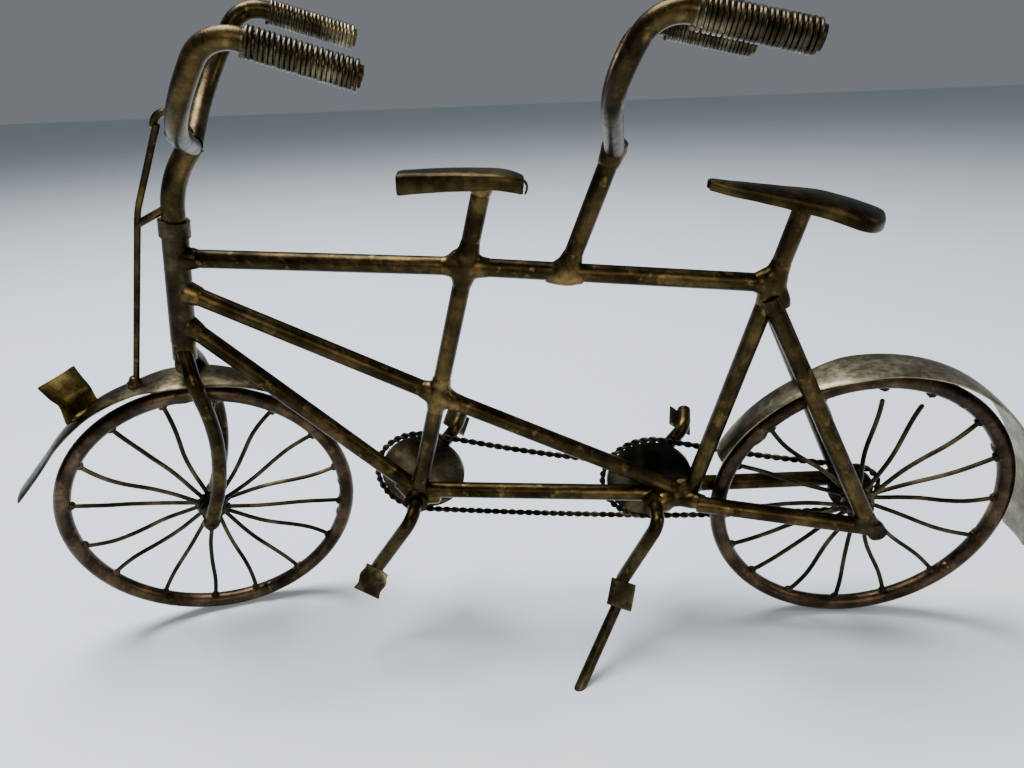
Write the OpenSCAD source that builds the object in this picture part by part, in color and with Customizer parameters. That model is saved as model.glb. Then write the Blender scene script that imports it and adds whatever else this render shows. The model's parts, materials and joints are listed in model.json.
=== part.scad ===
// Miniature tandem bicycle, soldered together from brass rod, wire and sheet.
// It stands on both wheels and on a rod soldered to the rear left crank, with its front wheel turned left.
// The bicycle faces -X and its left side is towards -Y. Z is up and the table is at Z = 0.

/* [Overall] */
// Distance between the two wheel axles, mm
wheelbase = 144; // [136:1:156]
// Radius of a wheel, to the middle of its rim rod, mm
rim_radius = 30; // [28:0.5:31.5]
// Thickness of the rim rod, mm
rim_rod_d = 3.4; // [2.4:0.2:3.8]
// Sideways lean to the left, onto the stand, degrees
lean = 5.5; // [3:0.5:8]
// How far the front wheel is turned to the left, degrees
steer = 19; // [0:1:25]

/* [Frame] */
// Diameter of the frame tubes, mm
tube_d = 3.5; // [2.8:0.1:4]
// Slope of the head tube, degrees from upright
head_rake = 11; // [8:0.5:14]
// Outside diameter of the head tube, mm
head_tube_d = 4.8; // [4.4:0.1:5.4]
// Diameter of the steerer pin inside the head tube, mm
steerer_d = 2.8; // [2.2:0.1:3.2]
// Height of the top tube's rear end above the rear axle, mm
top_tube_rear_h = 51; // [46:1:56]
// Length of the front seat post above the top tube, mm
front_post_length = 17.5; // [13:0.5:21]
// Length of the rear seat post above the top tube, mm
rear_post_length = 17; // [13:0.5:21]
// Sideways distance of the rear stays at the rear axle, mm
dropout_offset = 8.6; // [8.2:0.1:10]

/* [Wheels] */
// Number of spokes in each wheel
spoke_count = 16; // [12:1:20]
// Thickness of a spoke, mm
spoke_d = 1.1; // [0.8:0.1:1.4]
// Diameter of each wheel axle, mm
axle_d = 1.6; // [1.2:0.1:2]
// Outside diameter of a hub, mm
hub_d = 4.4; // [3.8:0.2:5.4]
// Width of the sheet strip of each mudguard, mm
mudguard_w = 10.5; // [8:0.5:11]
// Thickness of the sheet strip, mm
sheet_t = 0.6; // [0.4:0.1:0.8]

/* [Handlebars and saddles] */
// Diameter of the handlebar rods, mm
bar_d = 3.4; // [2.8:0.1:3.8]
// Thickness of the wire wound round each grip, mm
grip_wire_d = 0.7; // [0.5:0.1:0.8]
// Number of turns of wire on each grip
grip_turns = 20; // [14:1:22]
// Length of the front handlebar's grips, mm
front_grip_length = 16; // [13:0.5:19]
// Length of the rear handlebar's grips, mm
rear_grip_length = 16; // [13:0.5:19]
// Length of the front saddle, mm
front_saddle_length = 23; // [19:1:27]
// Length of the rear saddle, mm
rear_saddle_length = 32; // [27:1:38]
// Depth of the saddles' folded sides, mm
saddle_skirt = 2.8; // [2.2:0.2:4]

/* [Cranks and chains] */
// Diameter of the bent crank rods, mm
crank_d = 3; // [2.4:0.1:3.2]
// Length of the front left crank arm, mm
front_left_arm = 16; // [13:0.5:16.5]
// Length of the rear left crank arm, mm
rear_left_arm = 17.5; // [14:0.5:19]
// Length of both right crank arms, mm
right_arm = 13.5; // [12:0.5:14.5]
// Radius of the two chain discs, mm
disc_r = 9.6; // [8:0.2:10.4]
// Radius of the disc on the rear hub, mm
sprocket_r = 4.8; // [4:0.2:5.5]
// Thickness of the twisted wire chains, mm
chain_d = 1.5; // [1.1:0.1:1.6]
// Side of each square pedal plate, mm
pedal_side = 6; // [5:0.2:6.4]
// Diameter of the stand rod, mm
stand_d = 2.4; // [2:0.1:2.8]

/* [Hidden] */
$fn = 48;
run_clear = 0.05;      // radial clearance of every turning fit
lap = 0.15;            // how far a straight stretch runs into a bend
bend_step = 0.03;      // how much thinner a bend is than the rod on each side of it
gap = 0.3;             // room between parts that pass each other
rim_rod_r = rim_rod_d / 2;
wheel_r = rim_radius + rim_rod_r;
axle_r = axle_d / 2;
tube_r = tube_d / 2;
crank_r = crank_d / 2;
bar_r = bar_d / 2;

// Head axis: it meets the height of the axles a little in front of the front axle.
head_foot_x = -3.4;
head_dir = [sin(head_rake), 0, cos(head_rake)];
head_foot = [head_foot_x, 0, 0];
head_low_z = wheel_r + 10.5;
head_top_z = head_low_z + 21.4;
collar_h = 3;
function on_head(z) = [head_foot_x + z * tan(head_rake), 0, z];

// Frame points in the bicycle's own plane, from the front axle.
front_bracket = [wheel_r + 16.108, 0, 3.2];
rear_bracket = [wheelbase - wheel_r - 12.508, 0, 1.7];
seat_cluster = [wheelbase - wheel_r + 7.076, 0, top_tube_rear_h];
top_tube_front_z = head_low_z + 17.1;
seat_tube_lean = 15.5;
front_seat_h = 56;
front_seat_back = (front_seat_h - front_bracket[2]) * tan(seat_tube_lean);
front_seat_top = [front_bracket[0] + front_seat_back, 0, front_seat_h];
function mix(a, b, t) = a + (b - a) * t;
lateral_start = on_head(head_low_z + 11);
lateral_cross = mix(front_bracket, front_seat_top, 0.48);
lower_cluster = [wheelbase - wheel_r - 4.732, 0, 2.6];
rear_axle_at = [wheelbase, 0, 0];
stay_foot_x = wheelbase - 0.8;
chain_stay_start = 3.6;
seat_stay_start = 1.4;

// Stem and handlebar joints.
stem_top_bend = 30;
stem_bend_r = 20;
stem_straight = [1.6, 2.5];
stem_angle = head_rake + stem_top_bend;
stem_start = on_head(head_top_z + collar_h * cos(head_rake));
front_joint = stem_start
    + stem_straight[0] * head_dir
    + stem_bend_r * [cos(head_rake) - cos(stem_angle), 0, sin(stem_angle) - sin(head_rake)]
    + stem_straight[1] * [sin(stem_angle), 0, cos(stem_angle)];
front_bar_twist = -5;
rear_stem_at = mix(front_seat_top, seat_cluster, 0.3258) - [0, 0, 0.508];
rear_joint = rear_stem_at + [8.5, 0, 22.4];
rear_bar_yaw = -4;
rear_bar_roll = -5;
bar_end_bare = 1;

// Bent rods: [straight length, roll, bend radius, bend angle] for each stretch.
front_bar_turn = [0, 69.7, -86.3];
front_bar_bends = [[8.5, 141.3, 18.8, 61.8], [0.3, -81, 6.2, 75]];
rear_bar_turn = [0, 61, -93.5];
rear_bar_bends = [[11.9, 141.9, 16.7, 49.7], [0.3, -63.9, 6.3, 75.3]];
fork_turn = [0, 139.8, -79.4];
fork_sweep = 31.1;
fork_sweep_r = (wheel_r - 5.1) / (2 * sin(fork_sweep / 2));
fork_bends = [[5.4, 10.9, 6, 38.3], [2, -85.3, fork_sweep_r, fork_sweep]];
fork_tail = 4.8;
fork_blade_d = 3;
fork_start_z = head_low_z - 1.8;
crown_low_z = head_low_z - 3.8;
crown_d = 4.6;

// Cranks and chains. Each chain is still, and the discs turn inside it.
left_arm_y = 9;
right_arm_y = 11;
crank_bend_r = 2.6;
left_pin_droop = 36;
right_pin_droop = 15;
pin_length = 5.6;
disc_t = 1.2;
chain_r = chain_d / 2;
chain_reach = gap + chain_r;
rear_loop_y = 6.7;
front_loop_y = rear_loop_y + disc_t / 2 + gap + chain_r;
sprocket_y = 4.6;
front_loop_end = rear_bracket - [0, 0, 4.6];
front_loop_end_r = 7.3;
front_left_angle = -125;
rear_left_angle = -114.7;
front_right_angle = 52;
rear_right_angle = 55;
bracket_d = 5.2;
bracket_half = 3.2;
hub_half = 3.2;

// Pose on the table.
rear_axle_h = rim_radius * cos(lean) + rim_rod_r;
function turned(v, k, a) = v * cos(a) + cross(k, v) * sin(a) + k * (k * v) * (1 - cos(a));
function leaned(v) = [v[0], v[1] * cos(lean) - v[2] * sin(lean), v[1] * sin(lean) + v[2] * cos(lean)];
front_hub_leaned = leaned(turned(-head_foot, head_dir, steer) + head_foot);
front_spin_leaned = leaned(turned([0, 1, 0], head_dir, steer));
front_axle_h = rim_radius * sqrt(1 - pow(front_spin_leaned[2], 2)) + rim_rod_r;
pitch = asin((front_axle_h - rear_axle_h - front_hub_leaned[2]) / (wheelbase - front_hub_leaned[0]));
function placed(v) = let (w = leaned(v - rear_axle_at))
    [w[0] * cos(pitch) + w[2] * sin(pitch), w[1], -w[0] * sin(pitch) + w[2] * cos(pitch) + rear_axle_h];
centre_shift = [wheelbase / 2 - 0.77, 5.16, 0];

// Stand: from the end of the rear left crank to the table.
function pin_end(bracket, y, arm, angle, droop) = let (
    reach = arm + pin_length * sin(droop),
    out = y + pin_length * cos(droop))
    bracket + [reach * cos(angle), -out, reach * sin(angle)];
stand_top = pin_end(rear_bracket, left_arm_y, rear_left_arm, rear_left_angle, left_pin_droop);
stand_foot_offset = [-17, -24.6];
stand_foot = [rear_bracket[0] + stand_foot_offset[0], stand_foot_offset[1], 0];
stand_foot_z = -(rear_axle_h + stand_foot[1] * sin(lean)) / cos(lean);
stand_sink = 2;

brass = [0.48, 0.37, 0.19];
dark_brass = [0.33, 0.26, 0.15];
copper = [0.37, 0.23, 0.15];
blackened = [0.12, 0.12, 0.12];
sheet_brass = [0.43, 0.41, 0.28];

// ---- Places ----

// Moves the bicycle's own frame to the table.
module on_table() {
    translate([0, 0, rear_axle_h] + centre_shift)
        rotate([0, pitch, 0])
        rotate([lean, 0, 0])
        translate(-rear_axle_at)
        children();
}

// Turns what the head tube steers.
module steered() {
    on_table()
        translate(head_foot)
        rotate([0, head_rake, 0])
        rotate([0, 0, steer])
        rotate([0, -head_rake, 0])
        translate(-head_foot)
        children();
}

module right_side() {
    mirror([0, 1, 0]) children();
}

// ---- Rods ----

// A round rod between two points.
module rod(p, q, d) {
    v = q - p;
    translate(p)
        rotate([0, acos(v[2] / norm(v)), atan2(v[1], v[0])])
        cylinder(h = norm(v), d = d);
}

// One bend towards +X, from the origin up.
module elbow(radius, angle, d) {
    translate([radius, 0, 0])
        rotate([90, 0, 180])
        rotate_extrude(angle = angle)
        translate([radius, 0])
        circle(d = d - 2 * bend_step);
}

module after_bend(stretch) {
    translate([0, 0, stretch[0]])
        rotate([0, 0, stretch[1]])
        translate([stretch[2] * (1 - cos(stretch[3])), 0, stretch[2] * sin(stretch[3])])
        rotate([0, stretch[3], 0])
        children();
}

// A rod bent at each stretch, with a straight tail. led is false where another rod leads into the first bend.
module bent_rod(bends, tail, d, i = 0, led = true) {
    start = i > 0 ? lap : 0;
    if (i < len(bends)) {
        if (led || i > 0) translate([0, 0, -start]) cylinder(h = bends[i][0] + start + lap, d = d);
        translate([0, 0, bends[i][0]])
            rotate([0, 0, bends[i][1]])
            elbow(bends[i][2], bends[i][3], d);
        after_bend(bends[i]) bent_rod(bends, tail, d, i + 1);
    } else {
        translate([0, 0, -start]) cylinder(h = tail + start, d = d);
    }
}

module at_bend_end(bends, i = 0) {
    if (i < len(bends)) {
        after_bend(bends[i]) at_bend_end(bends, i + 1) children();
    } else {
        children();
    }
}

// ---- Frame ----

module head_tube() {
    bore_r = steerer_d / 2 + run_clear;
    color(dark_brass) on_table() difference() {
        rod(on_head(head_low_z), on_head(head_top_z), head_tube_d);
        rod(on_head(head_low_z - 1), on_head(head_top_z + 1), 2 * bore_r);
    }
}

module head_collar() {
    bore_r = steerer_d / 2 + run_clear;
    start = on_head(head_top_z);
    color(brass) on_table() difference() {
        rod(start, start + collar_h * head_dir, head_tube_d + 0.8);
        rod(start - head_dir, start + (collar_h + 1) * head_dir, 2 * bore_r);
    }
}

// A frame tube that starts at the head tube's wall.
module from_head_tube(z, to) {
    start = on_head(z);
    way = (to - start) / norm(to - start);
    difference() {
        rod(start + way, to, tube_d);
        rod(on_head(head_low_z - 1), on_head(head_top_z + 1), head_tube_d);
    }
}

module top_tube_front() {
    color(brass) on_table() from_head_tube(top_tube_front_z, front_seat_top);
}

module top_tube_rear() {
    color(brass) on_table() rod(front_seat_top, seat_cluster, tube_d);
}

module lateral_tube_front() {
    color(brass) on_table() from_head_tube(lateral_start[2], lateral_cross);
}

module lateral_tube_rear() {
    color(brass) on_table() rod(lateral_cross, lower_cluster, tube_d);
}

module down_tube() {
    color(brass) on_table() difference() {
        from_head_tube(head_low_z + 4.3, front_bracket + [0, 0, 1.5]);
        bracket_bore(front_bracket);
    }
}

module bottom_tube() {
    color(brass) on_table() difference() {
        rod(front_bracket + [0, 0, 1.5], lower_cluster, tube_d);
        bracket_bore(front_bracket);
        bracket_bore(rear_bracket);
    }
}

module seat_tube_front() {
    color(brass) on_table() difference() {
        rod(front_bracket, front_seat_top, tube_d);
        bracket_bore(front_bracket);
    }
}

module seat_post_front() {
    lean_dir = [sin(seat_tube_lean), 0, cos(seat_tube_lean)];
    color(brass) on_table() rod(front_seat_top, front_seat_top + front_post_length * lean_dir, tube_d);
}

rear_post_dir = (seat_cluster - lower_cluster) / norm(seat_cluster - lower_cluster);

module seat_tube_rear() {
    color(brass) on_table() rod(lower_cluster, seat_cluster, tube_d);
}

module seat_post_rear() {
    color(brass) on_table() rod(seat_cluster, seat_cluster + rear_post_length * rear_post_dir, tube_d);
}

module across(at, y0, y1, d) {
    translate(at + [0, y0, 0]) rotate([-90, 0, 0]) cylinder(h = y1 - y0, d = d);
}

module bracket_bore(at) {
    across(at, -bracket_half - 2, bracket_half + 2, crank_d + 2 * run_clear);
}

module bottom_bracket(at) {
    color(brass) on_table() difference() {
        across(at, -bracket_half, bracket_half, bracket_d);
        bracket_bore(at);
    }
}

module bottom_bracket_front() {
    bottom_bracket(front_bracket);
}

module bottom_bracket_rear() {
    bottom_bracket(rear_bracket);
}

module chain_stay(side) {
    start = [lower_cluster[0] + 1, side * chain_stay_start, lower_cluster[2]];
    color(brass) on_table() rod(start, [stay_foot_x, side * dropout_offset, 0], tube_d);
}

module chain_stay_left() {
    chain_stay(-1);
}

module chain_stay_right() {
    chain_stay(1);
}

module seat_stay(side) {
    start = mix(seat_cluster, lower_cluster, 0.05) + [0, side * seat_stay_start, 0];
    color(brass) on_table() rod(start, [stay_foot_x, side * dropout_offset, 0], tube_d);
}

module seat_stay_left() {
    seat_stay(-1);
}

module seat_stay_right() {
    seat_stay(1);
}

module rear_axle() {
    tip = dropout_offset + 2;
    color(dark_brass) on_table() {
        across(rear_axle_at, -tip, tip, axle_d);
        across(rear_axle_at, -tip, -tip + 1.8, axle_d * 2.4);
        across(rear_axle_at, tip - 1.8, tip, axle_d * 2.4);
    }
}

// ---- Saddles ----

saddle_flat = 0.66;     // share of a saddle's length before its top starts to fall
saddle_room = 12;       // depth of the space cut under the sheet

// Outline of a saddle from above, pointing to -X, made smaller all round by inset.
module saddle_outline(length, nose, half, inset) {
    polygon([
        [inset, -nose + inset], [length * 0.3, -nose * 1.2 + inset], [length * 0.82, -half + inset],
        [length - inset, -half * 0.45 + inset], [length - inset, half * 0.45 - inset],
        [length * 0.82, half - inset], [length * 0.3, nose * 1.2 - inset], [inset, nose - inset]
    ]);
}

// A saddle's side view, drawn out over its width. depth is given at the nose and at the rear.
module saddle_side(length, fall, depth, half) {
    translate([0, half + 1, 0])
        rotate([90, 0, 0])
        linear_extrude(2 * half + 2)
        polygon([
            [0, 0], [length * saddle_flat, 0], [length, -fall],
            [length, -fall - depth[1]], [length * saddle_flat, -depth[1]], [0, -depth[0]]
        ]);
}

// A folded sheet saddle. Its nose is at the origin, and its rear end is lower by fall.
module folded_saddle(length, nose, half, fall, nose_depth) {
    difference() {
        intersection() {
            translate([0, 0, -fall - saddle_room])
                linear_extrude(fall + 2 * saddle_room)
                saddle_outline(length, nose, half, 0);
            saddle_side(length, fall, [nose_depth, saddle_skirt], half);
        }
        intersection() {
            translate([0, 0, -fall - saddle_room])
                linear_extrude(fall + 2 * saddle_room)
                saddle_outline(length, nose, half, sheet_t);
            translate([0, 0, -sheet_t]) saddle_side(length, fall, [saddle_room, saddle_room], half);
        }
    }
}

front_saddle_tilt = 4.3;
front_saddle_seat = 0.64;
rear_saddle_tilt = 8.5;
rear_saddle_seat = 0.56;

// A saddle whose sheet rests on a post's end. seat is the share of its length in front of the post.
module saddle_on(post_end, length, tilt, seat) {
    color(sheet_brass) on_table()
        translate(post_end)
        rotate([0, tilt, 0])
        translate([-length * seat, 0, sheet_t])
        children();
}

module front_saddle() {
    lean_dir = [sin(seat_tube_lean), 0, cos(seat_tube_lean)];
    saddle_on(front_seat_top + front_post_length * lean_dir, front_saddle_length, front_saddle_tilt, front_saddle_seat)
        folded_saddle(front_saddle_length, 2.4, 4.2, 0.8, saddle_skirt);
}

module rear_saddle() {
    saddle_on(seat_cluster + rear_post_length * rear_post_dir, rear_saddle_length, rear_saddle_tilt, rear_saddle_seat)
        folded_saddle(rear_saddle_length, 2, 6.4, 1.5, 1.9);
}

// ---- Handlebars ----

module rear_stem() {
    color(brass) on_table() rod(rear_stem_at, rear_joint, tube_d);
}

module rear_bar_place() {
    on_table()
        translate(rear_joint)
        rotate([0, 0, rear_bar_yaw])
        rotate([rear_bar_roll, 0, 0])
        children();
}

module front_bar_place() {
    steered()
        translate(front_joint)
        rotate([0, 0, front_bar_twist])
        children();
}

module handlebar(turn, bends, grip_length) {
    translate([0, -1, 0])
        rotate(turn)
        bent_rod(bends, grip_length + bar_end_bare, bar_d);
}

// Wire wound round the end of a bar: a sleeve with a ridge for each turn.
module grip(turn, bends, length) {
    turn_w = length / grip_turns;
    ridge_r = bar_r + grip_wire_d;
    groove_r = bar_r + grip_wire_d * 0.55;
    translate([0, -1, 0]) rotate(turn) at_bend_end(bends) rotate_extrude() polygon([
        [bar_r, 0],
        for (i = [0:grip_turns - 1]) each [
            [groove_r, i * turn_w], [ridge_r, (i + 0.3) * turn_w], [ridge_r, (i + 0.7) * turn_w]
        ],
        [groove_r, length],
        [bar_r, length]
    ]);
}

module rear_handlebar_left() {
    color(brass) rear_bar_place() handlebar(rear_bar_turn, rear_bar_bends, rear_grip_length);
}

module rear_handlebar_right() {
    color(brass) rear_bar_place() right_side() handlebar(rear_bar_turn, rear_bar_bends, rear_grip_length);
}

module rear_grip_left() {
    color(dark_brass) rear_bar_place() grip(rear_bar_turn, rear_bar_bends, rear_grip_length);
}

module rear_grip_right() {
    color(dark_brass) rear_bar_place() right_side() grip(rear_bar_turn, rear_bar_bends, rear_grip_length);
}

module front_handlebar_left() {
    color(brass) front_bar_place() handlebar(front_bar_turn, front_bar_bends, front_grip_length);
}

module front_handlebar_right() {
    color(brass) front_bar_place() right_side() handlebar(front_bar_turn, front_bar_bends, front_grip_length);
}

module front_grip_left() {
    color(dark_brass) front_bar_place() grip(front_bar_turn, front_bar_bends, front_grip_length);
}

module front_grip_right() {
    color(dark_brass) front_bar_place() right_side() grip(front_bar_turn, front_bar_bends, front_grip_length);
}

// ---- Steering ----

module steerer() {
    color(brass) steered() rod(on_head(crown_low_z), stem_start, steerer_d);
}

module stem() {
    color(brass) steered()
        translate(stem_start + run_clear * head_dir)
        rotate([0, head_rake, 0])
        bent_rod([[stem_straight[0], 0, stem_bend_r, stem_top_bend]], stem_straight[1], 4.2);
}

module fork_crown() {
    bottom = on_head(crown_low_z);
    top = on_head(head_low_z) - run_clear * head_dir;
    color(brass) steered() difference() {
        rod(bottom, top, crown_d);
        rod(bottom - head_dir, top + head_dir, steerer_d);
    }
}

module fork_blade() {
    color(brass) steered() children();
}

module blade_shape() {
    translate(on_head(fork_start_z) + [0, -1, 0])
        rotate(fork_turn)
        bent_rod(fork_bends, fork_tail, fork_blade_d);
}

module fork_blade_left() {
    fork_blade() blade_shape();
}

module fork_blade_right() {
    fork_blade() right_side() blade_shape();
}

module front_axle() {
    color(dark_brass) steered() across([0, 0, 0], -8, 8, axle_d);
}

// A strip of sheet round a wheel, from one angle to another, counted from +X towards +Z.
module arched_strip(radius, from, to, width, thinner = 0) {
    rotate([90, 0, 0])
        rotate([0, 0, from])
        rotate_extrude(angle = to - from, $fn = 96)
        translate([radius + thinner, -width / 2])
        square([sheet_t - 2 * thinner, width]);
}

// The strip's flat end, straight on from the arch. way is 1 towards larger angles.
module strip_end(radius, at, length, width, way) {
    rotate([0, -at, 0])
        translate([radius + bend_step, -width / 2, way > 0 ? -lap : -length])
        cube([sheet_t - 2 * bend_step, width, length + lap]);
}

front_guard_r = wheel_r + 2.6;
front_guard_from = 53;
front_guard_to = 138;

module front_mudguard() {
    color(sheet_brass) steered() {
        arched_strip(front_guard_r, front_guard_from, front_guard_to, mudguard_w);
        strip_end(front_guard_r, front_guard_to, 13.5, mudguard_w * 0.7, 1);
    }
}

rear_guard_r = wheel_r + 1.7;
rear_guard_from = 8;
rear_guard_to = 158;
rear_guard_narrow = 112;

module rear_mudguard() {
    color(sheet_brass) on_table() translate(rear_axle_at) {
        arched_strip(rear_guard_r, rear_guard_from, rear_guard_narrow, mudguard_w);
        arched_strip(rear_guard_r, rear_guard_narrow - 1, rear_guard_to, mudguard_w * 0.6, bend_step);
        strip_end(rear_guard_r, rear_guard_from, 16, mudguard_w * 0.8, -1);
    }
}

// The thin brake rod goes from the mudguard up to the left handlebar.
brake_rod_d = 1.2;
brake_foot_at = 100.7;
brake_foot = (front_guard_r + sheet_t / 2) * [cos(brake_foot_at), 0, sin(brake_foot_at)];
brake_slope = 16.7;
brake_bends = [[35, -50.4, 10, 16.6]];
brake_tail = 16;
brake_branch_at = 34;

module brake_rod() {
    color(brass) steered()
        translate(brake_foot)
        rotate([0, brake_slope, 0])
        bent_rod(brake_bends, brake_tail, brake_rod_d);
}

module brake_rod_branch() {
    from = brake_foot + brake_branch_at * [sin(brake_slope), 0, cos(brake_slope)];
    color(brass) steered() rod(from, on_head(from[2] + 2.6) - [0.5, 0, 0], 1.4);
}

// A bent sheet standing on the front mudguard, facing forwards.
lamp_at = 121;
lamp_w = 9;
lamp_lower = 5;
lamp_upper = 4.2;
lamp_bend = 32;
lamp_yaw = -38;

module headlamp_plate() {
    color(brass) steered()
        translate((front_guard_r + sheet_t - 0.3) * [cos(lamp_at), 0, sin(lamp_at)])
        rotate([0, 0, lamp_yaw])
        rotate([0, -6, 0])
        rotate([90, 0, 0])
        translate([0, 0, -lamp_w / 2])
        linear_extrude(lamp_w) {
            translate([-sheet_t / 2, 0]) square([sheet_t, lamp_lower]);
            translate([0, lamp_lower])
                rotate(lamp_bend)
                translate([-sheet_t / 2, 0])
                square([sheet_t, lamp_upper]);
            translate([0, lamp_lower]) circle(d = sheet_t);
        }
}

// ---- Wheels ----

module rim() {
    rotate([90, 0, 0])
        rotate_extrude($fn = 96)
        translate([rim_radius, 0])
        circle(r = rim_rod_r);
}

module hub() {
    difference() {
        across([0, 0, 0], -hub_half, hub_half, hub_d);
        across([0, 0, 0], -hub_half - 1, hub_half + 1, axle_d + 2 * run_clear);
    }
}

// Spokes from a ring round the hub to the middle of the rim rod. first is the angle of spoke 0, from +X towards +Z.
// Those listed in broken end short of the rim.
module spokes(first, broken) {
    ring_r = hub_d / 2 + 0.8;
    start = ring_r - 0.5;
    reach = rim_radius - rim_rod_r * 0.7;
    difference() {
        across([0, 0, 0], -0.9, 0.9, 2 * ring_r);
        across([0, 0, 0], -2, 2, hub_d);
    }
    for (i = [0:spoke_count - 1])
        rotate([0, 90 - first - i * 360 / spoke_count, 0])
            translate([0, 0, start])
            cylinder(h = (len(search(i, broken)) > 0 ? reach - 3 : reach) - start, d = spoke_d);
}

broken_spokes = [3, 4];

module front_rim() {
    color(copper) steered() rim();
}

module front_hub() {
    color(dark_brass) steered() hub();
}

module front_spokes() {
    color(dark_brass) steered() spokes(8, []);
}

module rear_rim() {
    color(copper) on_table() translate(rear_axle_at) rim();
}

module rear_hub() {
    color(dark_brass) on_table() translate(rear_axle_at) hub();
}

module rear_spokes() {
    color(dark_brass) on_table() translate(rear_axle_at) spokes(1, broken_spokes);
}

module rear_sprocket() {
    bore = axle_d + 2 * run_clear;
    start = sprocket_y - disc_t / 2;
    color(blackened) on_table() translate(rear_axle_at) difference() {
        union() {
            across([0, 0, 0], hub_half, start, hub_d * 0.8);
            across([0, 0, 0], start, start + disc_t, 2 * sprocket_r);
        }
        across([0, 0, 0], 0, start + disc_t + 1, bore);
    }
}

// ---- Cranks ----

function crank_bends(y, arm, droop, roll) = let (r = crank_bend_r, last = 90 - droop) [
    [y - r, roll, r, 90],
    [arm - r - r * tan(last / 2), 180, r, last]
];

function crank_tail(droop) = pin_length - crank_bend_r * tan((90 - droop) / 2);

// One side of a crank rod, from its first bend on.
module crank_arm(y, arm, droop, roll) {
    bends = crank_bends(y, arm, droop, roll);
    translate([0, 0, bends[0][0]])
        bent_rod([[0, bends[0][1], bends[0][2], bends[0][3]], bends[1]], crank_tail(droop), crank_d, 0, false);
}

// One rod bent into both crank arms. Angles run from +X towards +Z.
module crank_rod(at, left_arm, left_angle, right_angle) {
    color(brass) on_table() translate(at) {
        across([0, 0, 0], crank_bend_r - left_arm_y - lap, right_arm_y - crank_bend_r + lap, crank_d);
        rotate([90, 0, 0]) crank_arm(left_arm_y, left_arm, left_pin_droop, left_angle);
        rotate([-90, 0, 0]) crank_arm(right_arm_y, right_arm, right_pin_droop, -right_angle);
    }
}

module front_crank() {
    crank_rod(front_bracket, front_left_arm, front_left_angle, front_right_angle);
}

module rear_crank() {
    crank_rod(rear_bracket, rear_left_arm, rear_left_angle, rear_right_angle);
}

module chain_disc(at, y) {
    color(blackened) on_table() translate(at) difference() {
        across([0, 0, 0], y - disc_t / 2, y + disc_t / 2, 2 * disc_r);
        across([0, 0, 0], y - disc_t, y + disc_t, crank_d);
    }
}

module front_chain_disc() {
    chain_disc(front_bracket, front_loop_y);
}

module rear_chain_disc() {
    chain_disc(rear_bracket, rear_loop_y);
}

// A square plate soldered on the outer side of a crank's end.
module pedal_plate(bends, droop) {
    at_bend_end(bends)
        translate([crank_r * 0.8, -pedal_side / 2, crank_tail(droop) - pedal_side + 0.6])
        cube([sheet_t, pedal_side, pedal_side]);
}

module left_pedal(at, arm, angle) {
    color(sheet_brass) on_table() translate(at)
        rotate([90, 0, 0])
        pedal_plate(crank_bends(left_arm_y, arm, left_pin_droop, angle), left_pin_droop);
}

module right_pedal(at, angle) {
    color(sheet_brass) on_table() translate(at)
        rotate([-90, 0, 0])
        pedal_plate(crank_bends(right_arm_y, right_arm, right_pin_droop, -angle), right_pin_droop);
}

module front_pedal_left() {
    left_pedal(front_bracket, front_left_arm, front_left_angle);
}

module front_pedal_right() {
    right_pedal(front_bracket, front_right_angle);
}

module rear_pedal_left() {
    left_pedal(rear_bracket, rear_left_arm, rear_left_angle);
}

module rear_pedal_right() {
    right_pedal(rear_bracket, rear_right_angle);
}

module stand_rod() {
    foot = [stand_foot[0], stand_foot[1], stand_foot_z];
    way = (foot - stand_top) / norm(foot - stand_top);
    under = placed(foot) + centre_shift;
    color(dark_brass) difference() {
        on_table() rod(stand_top - way, foot + stand_sink * way, stand_d);
        translate([under[0] - 10, under[1] - 10, -20]) cube(20);
    }
}

// ---- Chains ----

// A wire loop round two discs. y and radius are given at each end.
module wire_loop(a, ra, ya, b, rb, yb) {
    p = [a[0], ya, a[2]];
    q = [b[0], yb, b[2]];
    slope = atan2(b[2] - a[2], b[0] - a[0]);
    lift = asin((ra - rb) / norm([b[0] - a[0], b[2] - a[2]]));
    up = slope + 90 - lift;
    low = slope - 90 + lift;
    for (t = [up, low])
        lapped_rod(p + ra * [cos(t), 0, sin(t)], q + rb * [cos(t), 0, sin(t)], chain_d);
    translate(p) ring_part(ra, up, low + 360);
    translate(q) ring_part(rb, low, up);
}

module lapped_rod(p, q, d) {
    way = (q - p) / norm(q - p);
    rod(p - lap * way, q + lap * way, d);
}

module ring_part(radius, from, to) {
    rotate([90, 0, 0])
        rotate([0, 0, from])
        rotate_extrude(angle = to - from, $fn = 64)
        translate([radius, 0])
        circle(d = chain_d - 2 * bend_step);
}

module front_chain() {
    r = disc_r + chain_reach;
    color(blackened) on_table() wire_loop(front_bracket, r, front_loop_y, front_loop_end, front_loop_end_r, front_loop_y);
}

module rear_chain() {
    color(blackened) on_table()
        wire_loop(rear_bracket, disc_r + chain_reach, rear_loop_y, rear_axle_at, sprocket_r + chain_reach, sprocket_y);
}

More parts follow.
